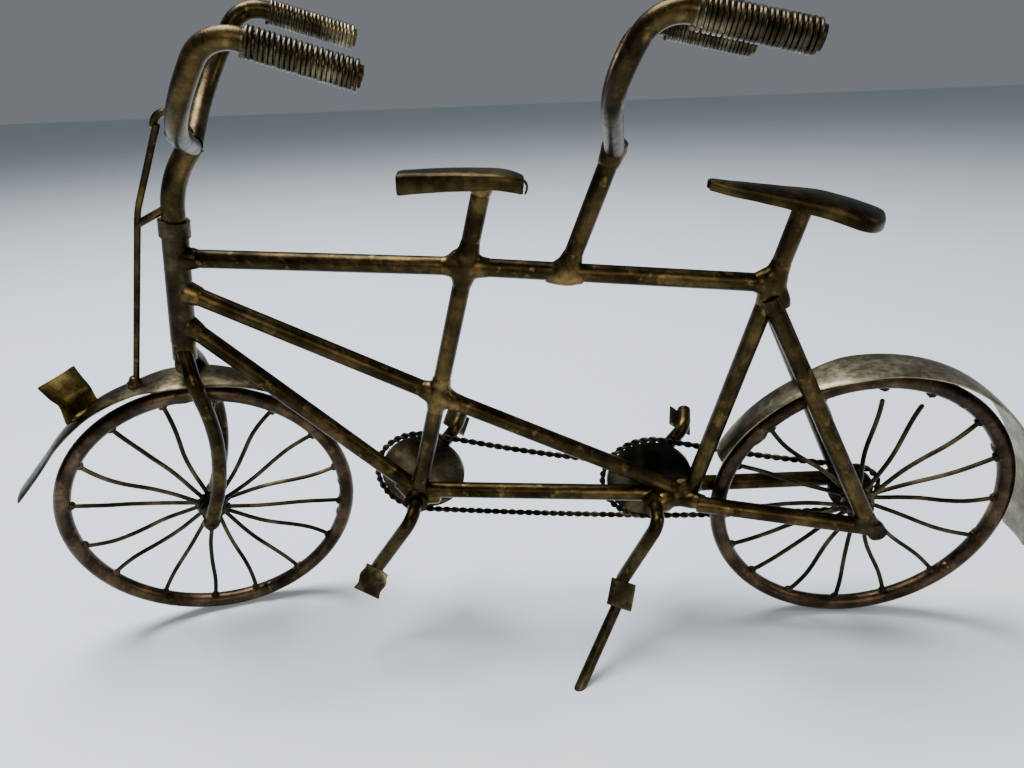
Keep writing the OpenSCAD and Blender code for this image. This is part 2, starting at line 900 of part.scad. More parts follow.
head_tube();
head_collar();
top_tube_front();
top_tube_rear();
lateral_tube_front();
lateral_tube_rear();
down_tube();
bottom_tube();
seat_tube_front();
seat_post_front();
seat_tube_rear();
seat_post_rear();
bottom_bracket_front();
bottom_bracket_rear();
chain_stay_left();
chain_stay_right();
seat_stay_left();
seat_stay_right();
rear_axle();
front_saddle();
rear_saddle();
rear_stem();
rear_handlebar_left();
rear_handlebar_right();
rear_grip_left();
rear_grip_right();
rear_mudguard();
front_chain();
rear_chain();
steerer();
stem();
front_handlebar_left();
front_handlebar_right();
front_grip_left();
front_grip_right();
fork_crown();
fork_blade_left();
fork_blade_right();
front_axle();
front_mudguard();
brake_rod();
brake_rod_branch();
headlamp_plate();
front_rim();
front_hub();
front_spokes();
rear_rim();
rear_hub();
rear_spokes();
rear_sprocket();
front_crank();
front_chain_disc();
front_pedal_left();
front_pedal_right();
rear_crank();
rear_chain_disc();
rear_pedal_left();
rear_pedal_right();
stand_rod();
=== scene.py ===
# A miniature tandem bicycle soldered from brass rod, wire and sheet, on a plain pale table.
# Shapes are made in millimetres, in the bicycle's own frame: X from the front hub to the rear hub, Z up,
# and -Y to the rider's left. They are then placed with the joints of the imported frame.
import json
import math
import random

import bmesh
import bpy
import numpy as np
from mathutils import Matrix, Vector, noise


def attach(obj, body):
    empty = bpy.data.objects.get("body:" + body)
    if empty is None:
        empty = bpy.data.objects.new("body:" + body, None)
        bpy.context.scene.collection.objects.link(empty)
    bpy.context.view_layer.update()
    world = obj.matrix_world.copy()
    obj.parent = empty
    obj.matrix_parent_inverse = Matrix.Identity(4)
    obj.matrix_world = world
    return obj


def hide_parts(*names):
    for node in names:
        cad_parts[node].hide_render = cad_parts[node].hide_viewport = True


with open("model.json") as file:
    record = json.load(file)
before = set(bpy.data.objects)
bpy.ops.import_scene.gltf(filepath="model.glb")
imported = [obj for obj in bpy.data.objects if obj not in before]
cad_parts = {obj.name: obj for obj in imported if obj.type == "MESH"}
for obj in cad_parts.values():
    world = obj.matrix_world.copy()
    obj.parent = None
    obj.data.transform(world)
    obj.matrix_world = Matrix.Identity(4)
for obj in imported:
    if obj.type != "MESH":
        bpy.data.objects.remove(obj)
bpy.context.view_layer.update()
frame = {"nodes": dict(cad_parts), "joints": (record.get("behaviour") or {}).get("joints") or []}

MM = 0.001
NODES = frame["nodes"]
JOINTS = {j["name"]: j for j in frame["joints"]}
SPOKES = 16
RIM_R = 30.0
RIM_ROD_R = 1.7
TUBE_R = 1.75
HEAD_FOOT = np.array([-3.4, 0.0, 0.0])
HEAD_RAKE = math.radians(11)


# ---- Places ----

def unit(v):
    v = np.asarray(v, float)
    return v / np.linalg.norm(v)


def place_of(x, y, z, origin):
    m = np.eye(4)
    m[:3, 0], m[:3, 1], m[:3, 2], m[:3, 3] = x, y, z, origin
    return m


def joint_at(name):
    return np.array(JOINTS[name]["pos_m"]) / MM


rear_y = unit(JOINTS["rear_wheel_spin"]["axis"])
rear_x = unit(joint_at("rear_wheel_spin") - joint_at("steering"))
WHEELBASE = np.linalg.norm(joint_at("rear_wheel_spin") - joint_at("steering")) + HEAD_FOOT[0]
BIKE = place_of(rear_x, rear_y, np.cross(rear_x, rear_y), joint_at("rear_wheel_spin") - WHEELBASE * rear_x)
head_dir = unit(JOINTS["steering"]["axis"])
front_y = unit(JOINTS["front_wheel_spin"]["axis"])
square_to_head = np.cross(front_y, head_dir)
front_x = math.sin(HEAD_RAKE) * head_dir + math.cos(HEAD_RAKE) * square_to_head
STEERED = place_of(front_x, front_y, np.cross(front_x, front_y), joint_at("front_wheel_spin"))
REAR = BIKE @ place_of([1, 0, 0], [0, 1, 0], [0, 0, 1], [WHEELBASE, 0, 0])


def in_bike(joint):
    return (np.linalg.inv(BIKE) @ np.append(joint_at(joint), 1))[:3]


front_bracket = in_bike("front_crank_turn")
rear_bracket = in_bike("rear_crank_turn")


def on_head(z):
    return np.array([HEAD_FOOT[0] + z * math.tan(HEAD_RAKE), 0, z])


def mix(a, b, t):
    return np.asarray(a) + (np.asarray(b) - np.asarray(a)) * t


TOP_TUBE_Z = 59.3
LATERAL_Z = 53.2
DOWN_TUBE_Z = 46.5
SEAT_TOP_Z = 56.0
POST_FRONT = 17.5
POST_REAR = 17
cluster = np.array([WHEELBASE * 0.829, 0, 51.0])
lower = np.array([WHEELBASE * 0.747, 0, 2.6])
seat_lean = math.radians(15.5)
seat_back = (SEAT_TOP_Z - front_bracket[2]) * math.tan(seat_lean)
front_top = np.array([front_bracket[0] + seat_back, 0, SEAT_TOP_Z])
front_post_way = np.array([math.sin(seat_lean), 0, math.cos(seat_lean)])
rear_post_way = unit(cluster - lower)
cross_at = mix(front_bracket, front_top, 0.48)
stem_foot = mix(on_head(TOP_TUBE_Z), cluster, 0.655)
rear_joint = stem_foot + [8.5, 0, 22.4]
HEAD_WAY = np.array([math.sin(HEAD_RAKE), 0, math.cos(HEAD_RAKE)])
STAY_FEET = [np.array([WHEELBASE - 0.8, side * 8.6, 0]) for side in (-1, 1)]
HEAD_R = 2.4
FRONT_GUARD_R = 34.3
REAR_GUARD_R = 33.4
GUARD_TOP_R = FRONT_GUARD_R + 0.3


def turn(axis, degrees):
    return np.array(Matrix.Rotation(math.radians(degrees), 4, axis))


def shift(x, y, z):
    return np.array(Matrix.Translation((x, y, z)))


def moved(matrix, points):
    points = np.asarray(points, float).reshape(-1, 3)
    return points @ matrix[:3, :3].T + matrix[:3, 3]


# ---- Shapes ----

class Shape:
    """Corners and faces of one piece, with a grain coordinate for each corner."""

    def __init__(self):
        self.points, self.faces, self.grain = [], [], []

    def add(self, points, faces, grain=None):
        base = len(self.points)
        self.points += [tuple(p) for p in points]
        self.grain += [tuple(p) for p in (points if grain is None else grain)]
        self.faces += [tuple(i + base for i in f) for f in faces]


def rough_noise(p, seed, size):
    return noise.noise(Vector(np.asarray(p) / size) + Vector((seed * 7.3, seed * 3.1, seed * 1.7)))


def sweep(shape, path, radius, sides=10, closed=False, sides_from=None, squash=1.0):
    """A tube along a path. sides_from gives the direction of each ring's first corner."""
    path = np.asarray(path, float)
    count = len(path)
    ahead = np.roll(path, -1, 0) - np.roll(path, 1, 0) if closed else np.gradient(path, axis=0)
    ahead /= np.linalg.norm(ahead, axis=1)[:, None]
    if sides_from is None:
        first = np.cross(ahead[0], [0, 1, 0.02])
        ups = [unit(first)]
        for way in ahead[1:]:
            ups.append(unit(ups[-1] - way * (ups[-1] @ way)))
        ups = np.array(ups)
    else:
        ups = np.asarray(sides_from) - ahead * np.sum(np.asarray(sides_from) * ahead, 1)[:, None]
        ups /= np.linalg.norm(ups, axis=1)[:, None]
    across = np.cross(ahead, ups)
    angles = np.linspace(0, 2 * math.pi, sides, endpoint=False)
    radii = np.broadcast_to(np.asarray(radius, float), (count,))
    ring = np.cos(angles)[None, :, None] * ups[:, None]
    ring = ring + squash * np.sin(angles)[None, :, None] * across[:, None]
    corners = (path[:, None] + radii[:, None, None] * ring).reshape(-1, 3)
    along = np.concatenate([[0], np.cumsum(np.linalg.norm(np.diff(path, axis=0), axis=1))])
    grain = np.stack([
        np.repeat(along * 0.15, sides),
        np.tile(np.cos(angles), count) * np.repeat(radii, sides),
        np.tile(np.sin(angles), count) * np.repeat(radii, sides),
    ], 1)
    faces = []
    for i in range(count if closed else count - 1):
        a, b = i * sides, ((i + 1) % count) * sides
        for k in range(sides):
            n = (k + 1) % sides
            faces.append((a + k, a + n, b + n, b + k))
    if not closed:
        faces.append(tuple(range(sides))[::-1])
        faces.append(tuple((count - 1) * sides + k for k in range(sides)))
    shape.add(corners, faces, grain)


def rounded(length_of, radius, ends=(True, True)):
    """Radii that close a path's ends like the end of a melted wire."""
    steps = np.asarray(length_of, float)
    total = steps[-1]
    out = np.full(len(steps), float(radius))
    for end, on in enumerate(ends):
        if on:
            near = steps if end == 0 else total - steps
            t = np.clip(near / radius, 0.02, 1)
            out = np.minimum(out, radius * np.sqrt(1 - (1 - t) ** 2))
    return out


def wire(shape, points, radius, sides=9, ends=(True, True), step=0.35, waver=0.0, seed=0):
    """A wire through a few points, smoothed, with rounded ends and a little waver."""
    points = np.asarray(points, float)
    long = np.sum(np.linalg.norm(np.diff(points, axis=0), axis=1))
    count = max(8, int(long / step))
    fine = np.linspace(0, len(points) - 1, count)
    padded = np.vstack([2 * points[0] - points[1], points, 2 * points[-1] - points[-2]])
    path = []
    for s in fine:
        i = min(int(s), len(points) - 2)
        u = s - i
        a, b, c, d = padded[i:i + 4]
        square = (2 * a - 5 * b + 4 * c - d) * u ** 2
        cube = (3 * b - a - 3 * c + d) * u ** 3
        path.append(0.5 * (2 * b + (c - a) * u + square + cube))
    path = np.array(path)
    if waver:
        for i, p in enumerate(path):
            fade = math.sin(math.pi * i / (count - 1))
            path[i] = p + fade * waver * np.array([rough_noise(p, seed + k, 6) for k in range(3)])
    run = np.concatenate([[0], np.cumsum(np.linalg.norm(np.diff(path, axis=0), axis=1))])
    sweep(shape, path, rounded(run, radius, ends), sides)


def lump(shape, at, radii, seed, matrix=None, rough=0.16, size=1.3):
    """A blob of solder."""
    rings, segments = 9, 14
    points, faces = [], []
    for i in range(1, rings):
        a = math.pi * i / rings
        for k in range(segments):
            b = 2 * math.pi * k / segments
            points.append((math.sin(a) * math.cos(b), math.sin(a) * math.sin(b), math.cos(a)))
    points += [(0, 0, 1), (0, 0, -1)]
    top, bottom = len(points) - 2, len(points) - 1
    for k in range(segments):
        n = (k + 1) % segments
        faces.append((top, k, n))
        last = (rings - 2) * segments
        faces.append((bottom, last + n, last + k))
        for i in range(rings - 2):
            faces.append((i * segments + k, (i + 1) * segments + k, (i + 1) * segments + n, i * segments + n))
    out = []
    for p in np.array(points):
        q = p * np.asarray(radii, float)
        q = q * (1 + rough * rough_noise(np.asarray(at) + q * 1.6, seed, size))
        out.append(q)
    out = np.array(out)
    if matrix is not None:
        out = out @ np.asarray(matrix)[:3, :3].T
    shape.add(out + np.asarray(at), faces)


def facing(way):
    """A turn that takes Z to a direction."""
    z = unit(way)
    x = unit(np.cross([0, 1, 0.01], z))
    return np.stack([x, np.cross(z, x), z], 1)


def sheet(shape, grid, thick, edge=0.35):
    """A sheet of even thickness on a grid of points, thinned a little at its edges."""
    grid = np.asarray(grid, float)
    n, m = grid.shape[:2]
    du, dv = np.gradient(grid, axis=0), np.gradient(grid, axis=1)
    normal = np.cross(du, dv)
    normal /= np.maximum(np.linalg.norm(normal, axis=2), 1e-9)[:, :, None]
    half = np.full((n, m), thick / 2)
    half[0], half[-1], half[:, 0], half[:, -1] = (thick * edge,) * 4
    top = (grid + normal * half[:, :, None]).reshape(-1, 3)
    low = (grid - normal * half[:, :, None]).reshape(-1, 3)
    faces = []
    size = n * m
    for i in range(n - 1):
        for k in range(m - 1):
            a = i * m + k
            quad = (a, a + 1, a + m + 1, a + m)
            faces.append(quad)
            faces.append(tuple(q + size for q in quad[::-1]))
    border = [k for k in range(m)] + [i * m + m - 1 for i in range(1, n)]
    border += [(n - 1) * m + k for k in range(m - 2, -1, -1)] + [i * m for i in range(n - 2, 0, -1)]
    for a, b in zip(border, border[1:] + border[:1]):
        faces.append((b, a, a + size, b + size))
    along = np.concatenate([[0], np.cumsum(np.linalg.norm(np.diff(grid[:, m // 2], axis=0), axis=1))])
    wide = np.concatenate([[0], np.cumsum(np.linalg.norm(np.diff(grid[n // 2], axis=0), axis=1))])
    flat = np.stack([np.repeat(along * 0.3, m), np.tile(wide, n), np.zeros(size)], 1)
    shape.add(np.vstack([top, low]), faces, np.vstack([flat, flat + [0, 0, 3]]))


def finish_mesh(obj, angle=38):
    obj.data.shade_smooth()
    obj.data.set_sharp_from_angle(angle=math.radians(angle))


def set_grain(mesh, values):
    layer = mesh.attributes.new("grain", "FLOAT_VECTOR", "POINT")
    layer.data.foreach_set("vector", np.asarray(values, np.float32).ravel())


def piece(name, shape, place, body, material, replaces=(), subdivide=0, angle=38):
    mesh = bpy.data.meshes.new(name)
    mesh.from_pydata([tuple(p) for p in moved(place, shape.points) * MM], [], shape.faces)
    set_grain(mesh, shape.grain)
    build = bmesh.new()
    build.from_mesh(mesh)
    bmesh.ops.recalc_face_normals(build, faces=build.faces)
    build.to_mesh(mesh)
    build.free()
    obj = bpy.data.objects.new(name, mesh)
    bpy.context.scene.collection.objects.link(obj)
    mesh.materials.append(material)
    finish_mesh(obj, angle)
    if subdivide:
        modifier = obj.modifiers.new("round", "SUBSURF")
        modifier.levels = modifier.render_levels = subdivide
    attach(obj, body)
    if replaces:
        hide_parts(*replaces)
    return obj


# ---- Camera and light ----

def add_camera():
    data = bpy.data.cameras.new("view")
    data.lens, data.sensor_width = 25.3125, 36
    data.clip_start, data.clip_end = 0.003, 50
    camera = bpy.data.objects.new("view", data)
    right, ahead = np.array([0.9984, 0.0421, -0.0379]), np.array([-0.0537, 0.9163, -0.3968])
    turned = np.eye(4)
    turned[:3, 0], turned[:3, 1], turned[:3, 2] = right, np.cross(right, ahead), -ahead
    turned[:3, 3] = [0.0050, -0.1314, 0.1199]
    camera.matrix_world = Matrix(turned.tolist())
    bpy.context.scene.collection.objects.link(camera)
    bpy.context.scene.camera = camera


def add_light(name, at, aim, size, power, color):
    data = bpy.data.lights.new(name, "AREA")
    data.shape, data.size, data.energy, data.color = "DISK", size, power, color
    light = bpy.data.objects.new(name, data)
    light.location = at
    light.rotation_euler = (Vector(aim) - Vector(at)).to_track_quat("-Z", "Y").to_euler()
    bpy.context.scene.collection.objects.link(light)


def add_world():
    world = bpy.data.worlds.new("room")
    world.use_nodes = True
    background = world.node_tree.nodes["Background"]
    background.inputs["Color"].default_value = (0.84, 0.92, 1.0, 1)
    background.inputs["Strength"].default_value = 0.20
    bpy.context.scene.world = world


# ---- Materials ----

def brass(name, tones, shine, patch=None, metal=1.0, bump=0.25, mottle=0.5, wear=None):
    """Aged metal. tones go from dark to bright and are set low: partly the aged metal's own dark colour,
    partly painted shade standing in for the shade of the backlit object. patch is a tarnish colour with its
    share.
    """
    made = bpy.data.materials.new(name)
    made.use_nodes = True
    tree = made.node_tree
    nodes, links = tree.nodes, tree.links
    nodes.clear()
    out = nodes.new("ShaderNodeOutputMaterial")
    shader = nodes.new("ShaderNodeBsdfPrincipled")
    links.new(shader.outputs["BSDF"], out.inputs["Surface"])
    shader.inputs["Metallic"].default_value = metal
    grain = nodes.new("ShaderNodeAttribute")
    grain.attribute_name = "grain"
    place = nodes.new("ShaderNodeTexCoord")

    def cloud(source, scale, detail, rough=0.55):
        node = nodes.new("ShaderNodeTexNoise")
        node.inputs["Scale"].default_value = scale
        node.inputs["Detail"].default_value = detail
        node.inputs["Roughness"].default_value = rough
        links.new(source, node.inputs["Vector"])
        return node.outputs["Fac"]

    def blend(kind, amount, a, b):
        node = nodes.new("ShaderNodeMix")
        node.data_type, node.blend_type = "RGBA", kind
        if isinstance(amount, float):
            node.inputs["Factor"].default_value = amount
        else:
            links.new(amount, node.inputs["Factor"])
        for socket, value in ((node.inputs[6], a), (node.inputs[7], b)):
            if isinstance(value, tuple):
                socket.default_value = (*value, 1)
            else:
                links.new(value, socket)
        return node.outputs[2]

    def ramp(source, stops):
        node = nodes.new("ShaderNodeValToRGB")
        band = node.color_ramp
        while len(band.elements) < len(stops):
            band.elements.new(0.5)
        for element, (at, color) in zip(band.elements, stops):
            element.position = at
            element.color = (*color, 1) if isinstance(color, tuple) else (color, color, color, 1)
        links.new(source, node.inputs["Fac"])
        return node.outputs["Color"]

    wide = cloud(place.outputs["Object"], 150, 4)
    fine = cloud(place.outputs["Object"], 900, 6, 0.65)
    streak = cloud(grain.outputs["Vector"], 2.2, 5, 0.6)
    base = ramp(wide, ((0.34, tones[0]), (0.5, tones[1]), (0.68, tones[2])))
    base = blend("MULTIPLY", mottle, base, ramp(streak, ((0.3, 0.45), (0.52, 1.0), (0.72, 1.5))))
    base = blend("MULTIPLY", mottle, base, ramp(fine, ((0.33, 0.5), (0.55, 1.05), (0.75, 1.35))))
    spots = cloud(place.outputs["Object"], 420, 3)
    if wear:
        base = blend("MIX", ramp(spots, ((0.6, 0.0), (0.74, 0.75))), base, wear)
    if patch:
        color, low = patch
        mask = cloud(place.outputs["Object"], 210, 6, 0.7)
        base = blend("MIX", ramp(mask, ((low, 0.0), (low + 0.12, 0.85))), base, color)
    links.new(base, shader.inputs["Base Color"])
    gloss = nodes.new("ShaderNodeMapRange")
    links.new(fine, gloss.inputs["Value"])
    gloss.inputs["From Min"].default_value, gloss.inputs["From Max"].default_value = 0.3, 0.7
    gloss.inputs["To Min"].default_value, gloss.inputs["To Max"].default_value = shine
    links.new(gloss.outputs["Result"], shader.inputs["Roughness"])
    dent = nodes.new("ShaderNodeBump")
    dent.inputs["Strength"].default_value = bump
    dent.inputs["Distance"].default_value = 0.00012
    height = nodes.new("ShaderNodeMath")
    height.operation = "ADD"
    links.new(streak, height.inputs[0])
    links.new(spots, height.inputs[1])
    links.new(height.outputs[0], dent.inputs["Height"])
    links.new(dent.outputs["Normal"], shader.inputs["Normal"])
    return made


def add_floor():
    made = bpy.data.materials.new("paper")
    made.use_nodes = True
    nodes, links = made.node_tree.nodes, made.node_tree.links
    shader = nodes["Principled BSDF"]
    shader.inputs["Roughness"].default_value = 0.75
    texture = nodes.new("ShaderNodeTexNoise")
    texture.inputs["Scale"].default_value = 8
    tint = nodes.new("ShaderNodeValToRGB")
    tint.color_ramp.elements[0].color = (0.66, 0.73, 0.79, 1)
    tint.color_ramp.elements[1].color = (0.72, 0.78, 0.84, 1)
    where = nodes.new("ShaderNodeTexCoord")
    links.new(where.outputs["Object"], texture.inputs["Vector"])
    links.new(texture.outputs["Fac"], tint.inputs["Fac"])
    links.new(tint.outputs["Color"], shader.inputs["Base Color"])
    mesh = bpy.data.meshes.new("table")
    span = 3.0
    corners = [(-span, -span, 0), (span, -span, 0), (span, span, 0), (-span, span, 0)]
    mesh.from_pydata(corners, [], [(0, 1, 2, 3)])
    mesh.materials.append(made)
    floor = bpy.data.objects.new("table", mesh)
    bpy.context.scene.collection.objects.link(floor)


add_camera()
add_world()
add_light("key", (-0.20, 0.10, 0.80), (0, -0.03, 0.02), 0.5, 14, (0.97, 0.98, 1.0))
add_light("front", (0.15, -0.8, 0.45), (0, 0, 0.06), 0.5, 3.0, (1.0, 0.95, 0.86))
add_light("side", (0.7, -0.1, 0.35), (0, 0, 0.06), 0.3, 1.6, (1.0, 0.94, 0.84))
add_floor()

# The tones below are kept very dark: partly the aged brass's own colour, partly painted shade standing in for
# the shade of the backlit object, offsetting the front light.
TUBE = brass(
    "tube_brass", ((0.012, 0.008, 0.003), (0.030, 0.0205, 0.0078), (0.085, 0.056, 0.020)), (0.26, 0.46),
    wear=(0.15, 0.098, 0.033))
DARK = brass(
    "dark_brass", ((0.010, 0.008, 0.004), (0.026, 0.020, 0.010), (0.095, 0.072, 0.036)), (0.32, 0.55))
WOUND = brass(
    "wound_wire", ((0.016, 0.013, 0.007), (0.055, 0.044, 0.024), (0.24, 0.19, 0.11)), (0.24, 0.42),
    patch=((0.030, 0.075, 0.048), 0.66))
RIM = brass(
    "rim_copper", ((0.018, 0.012, 0.007), (0.044, 0.029, 0.017), (0.105, 0.067, 0.038)), (0.28, 0.48),
    wear=(0.13, 0.077, 0.040))
BLACK = brass(
    "blackened_wire", ((0.006, 0.006, 0.005), (0.018, 0.015, 0.010), (0.085, 0.066, 0.036)), (0.36, 0.6))
DISC = brass(
    "disc_brass", ((0.012, 0.009, 0.005), (0.045, 0.033, 0.018), (0.15, 0.11, 0.06)), (0.30, 0.55))
SHEET = brass(
    "sheet_brass", ((0.020, 0.016, 0.008), (0.058, 0.048, 0.026), (0.19, 0.16, 0.09)), (0.26, 0.46),
    patch=((0.07, 0.085, 0.055), 0.68), mottle=0.35)
GUARD = brass(
    "guard_brass", ((0.08, 0.070, 0.042), (0.17, 0.15, 0.095), (0.36, 0.32, 0.21)), (0.28, 0.5),
    patch=((0.16, 0.19, 0.13), 0.66), mottle=0.35)
SADDLE = brass(
    "saddle_brass", ((0.008, 0.0055, 0.002), (0.020, 0.0145, 0.0052), (0.062, 0.045, 0.016)), (0.30, 0.50),
    patch=((0.034, 0.036, 0.018), 0.6), mottle=0.4)
SOLDER = brass(
    "solder", ((0.016, 0.010, 0.004), (0.040, 0.026, 0.010), (0.20, 0.125, 0.043)), (0.24, 0.48),
    patch=((0.024, 0.052, 0.034), 0.72), bump=0.6)
LAMP = brass(
    "lamp_brass", ((0.035, 0.024, 0.006), (0.11, 0.080, 0.022), (0.42, 0.31, 0.10)), (0.24, 0.42), mottle=0.4)

# ---- CAD pieces that keep their shape ----

STRAIGHT = (
    "head_tube head_collar top_tube_front top_tube_rear lateral_tube_front lateral_tube_rear down_tube "
    "bottom_tube seat_tube_front seat_post_front seat_tube_rear seat_post_rear chain_stay_left "
    "chain_stay_right seat_stay_left seat_stay_right rear_stem steerer fork_crown stand_rod "
    "brake_rod_branch bottom_bracket_front bottom_bracket_rear rear_axle front_axle"
).split()
LOOK = {
    **{n: DARK for n in ("head_tube", "head_collar", "rear_axle", "front_axle")},
    **{n: DARK for n in ("front_hub", "rear_hub", "stand_rod")},
    **{n: RIM for n in ("front_rim", "rear_rim")},
    **{n: BLACK for n in ("rear_chain_disc", "rear_sprocket")},
    "front_chain_disc": DISC,
}


def along_of(points):
    """The long direction of a rod's corners, and their middle."""
    middle = (points.min(0) + points.max(0)) / 2
    spread = np.linalg.svd(points - points.mean(0), full_matrices=False)[2]
    return spread, middle


def corners_of(node):
    mesh = NODES[node].data
    points = np.zeros(len(mesh.vertices) * 3, np.float32)
    mesh.vertices.foreach_get("co", points)
    return points.reshape(-1, 3).astype(float) / MM


for node, obj in NODES.items():
    corners = corners_of(node)
    if node in STRAIGHT:
        spread, middle = along_of(corners)
        local = (corners - middle) @ spread.T * [0.15, 1, 1]
    else:
        local = corners * 0.8
    set_grain(obj.data, local)
    obj.data.materials.clear()
    obj.data.materials.append(LOOK.get(node, TUBE))


# ---- Wound grips ----

def straight_frame(node):
    """A grip's long direction, its middle, its length and its outer and inner radii."""
    corners = corners_of(node)
    spread, middle = along_of(corners)
    z = spread[0]
    t = (corners - middle) @ z
    low, high = t.min(), t.max()
    centre = middle + z * (low + high) / 2
    around = corners - centre
    radii = np.linalg.norm(around - np.outer(around @ z, z), axis=1)
    return z, centre, high - low, radii.max(), radii.min()


def wound_grip(node, body, bar, seed):
    z, centre, length, outer, inner = straight_frame(node)
    joint = corners_of(bar).mean(0)
    if (centre - joint) @ z < 0:
        z = -z
    frame_of = np.eye(4)
    frame_of[:3, :3], frame_of[:3, 3] = facing(z), centre - z * length / 2
    shape = Shape()
    turns, per_turn = 22, 22
    wire_r = (outer - inner) / 2 * 0.88
    pitch = (length + 0.6 - 2 * wire_r) / turns
    path = []
    for i in range(turns * per_turn + 1):
        t = i / per_turn
        wobble = 0.16 * pitch * math.sin(t * 2.3 + seed) * math.sin(t * 0.7)
        a = 2 * math.pi * t
        r = outer - wire_r * (1.0 + 0.08 * (1 + math.sin(t * 1.9 + seed)))
        path.append((r * math.cos(a), r * math.sin(a), wire_r + t * pitch + wobble))
    outward = [(math.cos(2 * math.pi * i / per_turn), math.sin(2 * math.pi * i / per_turn), 0)
               for i in range(len(path))]
    sweep(shape, path, wire_r, 8, sides_from=outward, squash=1.0)
    core = [(0, 0, z0) for z0 in np.linspace(0.2, length + 0.4, 6)]
    sweep(shape, core, inner + wire_r * 0.2, 20)
    lump(shape, (0, 0, length + 0.5), (inner * 0.98, inner * 0.95, 0.7), seed)
    return piece(f"wound_{node}", shape, frame_of, body, WOUND, (node,))


wound_grip("front_grip_left", "steering", "front_handlebar_left", 1)
wound_grip("front_grip_right", "steering", "front_handlebar_right", 2)
wound_grip("rear_grip_left", "frame", "rear_handlebar_left", 3)
wound_grip("rear_grip_right", "frame", "rear_handlebar_right", 4)


# ---- Wheels ----

def wheel_spokes(name, place, body, first, broken, seed, replaced):
    shape = Shape()
    draw = random.Random(seed)
    inner_r, outer_r = 2.7, RIM_R - RIM_ROD_R * 0.55
    for i in range(SPOKES):
        angle = math.radians(first + i * 360 / SPOKES) + draw.uniform(-0.035, 0.035)
        bow = draw.uniform(-0.06, 0.06)
        snake = draw.uniform(0.01, 0.05) * draw.choice((-1, 1))
        lean = draw.uniform(-0.5, 0.5)
        start_y = draw.uniform(-1.3, 1.3)
        reach = 25.7 if i in broken else outer_r
        points = []
        for k in range(9):
            t = k / 8
            r = inner_r + (reach - inner_r) * t
            share = (r - inner_r) / (outer_r - inner_r)
            swing = bow * math.sin(math.pi * share) + snake * math.sin(2 * math.pi * share)
            bend = angle + swing * (1 - 0.45 * share)
            y = start_y * (1 - share) + lean * math.sin(math.pi * share)
            points.append((r * math.cos(bend), y, r * math.sin(bend)))
        wire(shape, points, 0.5, ends=(False, i in broken), waver=0.10, seed=seed + i)
        ahead = np.array([math.cos(angle), 0, math.sin(angle)])
        if i in broken:
            stub = [(outer_r - 1.7 + 0.45 * k) * ahead + [0.1 * k, 0, 0] for k in range(5)]
            wire(shape, stub, 0.5, ends=(True, False), seed=seed + i)
        lump(shape, (RIM_R - RIM_ROD_R * 0.98) * ahead, (1.0, 0.9, 0.8), seed + i, facing(ahead), 0.3)
        lump(shape, 3.0 * ahead + [0, start_y * 0.8, 0], (0.8, 0.8, 1.0), seed + 40 + i, facing(ahead), 0.3)
    ring = []
    for k in range(40):
        a = 2 * math.pi * k / 40
        ring.append((2.55 * math.cos(a), 0, 2.55 * math.sin(a)))
    sides = [unit(p) for p in ring]
    bulge = [0.85 + 0.16 * rough_noise(p, seed, 1.1) for p in ring]
    sweep(shape, ring, bulge, 10, closed=True, sides_from=sides, squash=1.9)
    piece(name, shape, place, body, DARK, replaced)


wheel_spokes("bent_spokes_front", STEERED, "front_wheel", 8, (), 11, ("front_spokes",))
wheel_spokes("bent_spokes_rear", REAR, "rear_wheel", 1, (3, 4), 29, ("rear_spokes",))


def rim_solder(name, place, body, seed):
    """Patches of solder where the rim rod was closed and patched."""
    shape = Shape()
    draw = random.Random(seed)
    for k in range(7):
        a = draw.uniform(0, 2 * math.pi)
        ahead = np.array([math.cos(a), 0, math.sin(a)])
        side = draw.choice((-1, 1))
        at = (RIM_R - 0.35 * draw.random()) * ahead + [0, side * 0.25, 0]
        lump(shape, at, (RIM_ROD_R * 1.02, RIM_ROD_R * 1.0, draw.uniform(1.6, 3.2)), seed + k,
             facing([-ahead[2], 0, ahead[0]]), 0.10, 1.0)
    piece(name, shape, place, body, RIM)


rim_solder("rim_patches_front", STEERED, "front_wheel", 51)
rim_solder("rim_patches_rear", REAR, "rear_wheel", 67)


# ---- Twisted wire chains ----

CHAIN_STEP = 0.28
CHAIN_PITCH = 3.9
STRAND_R = 0.385
STRAND_OUT = 0.36
DISC_LOOP_R = 10.65
FRONT_LOOP_END_R = 7.3
SPROCKET_LOOP_R = 5.85
FRONT_LOOP_Y = 8.35
REAR_LOOP_Y = (6.7, 4.6)

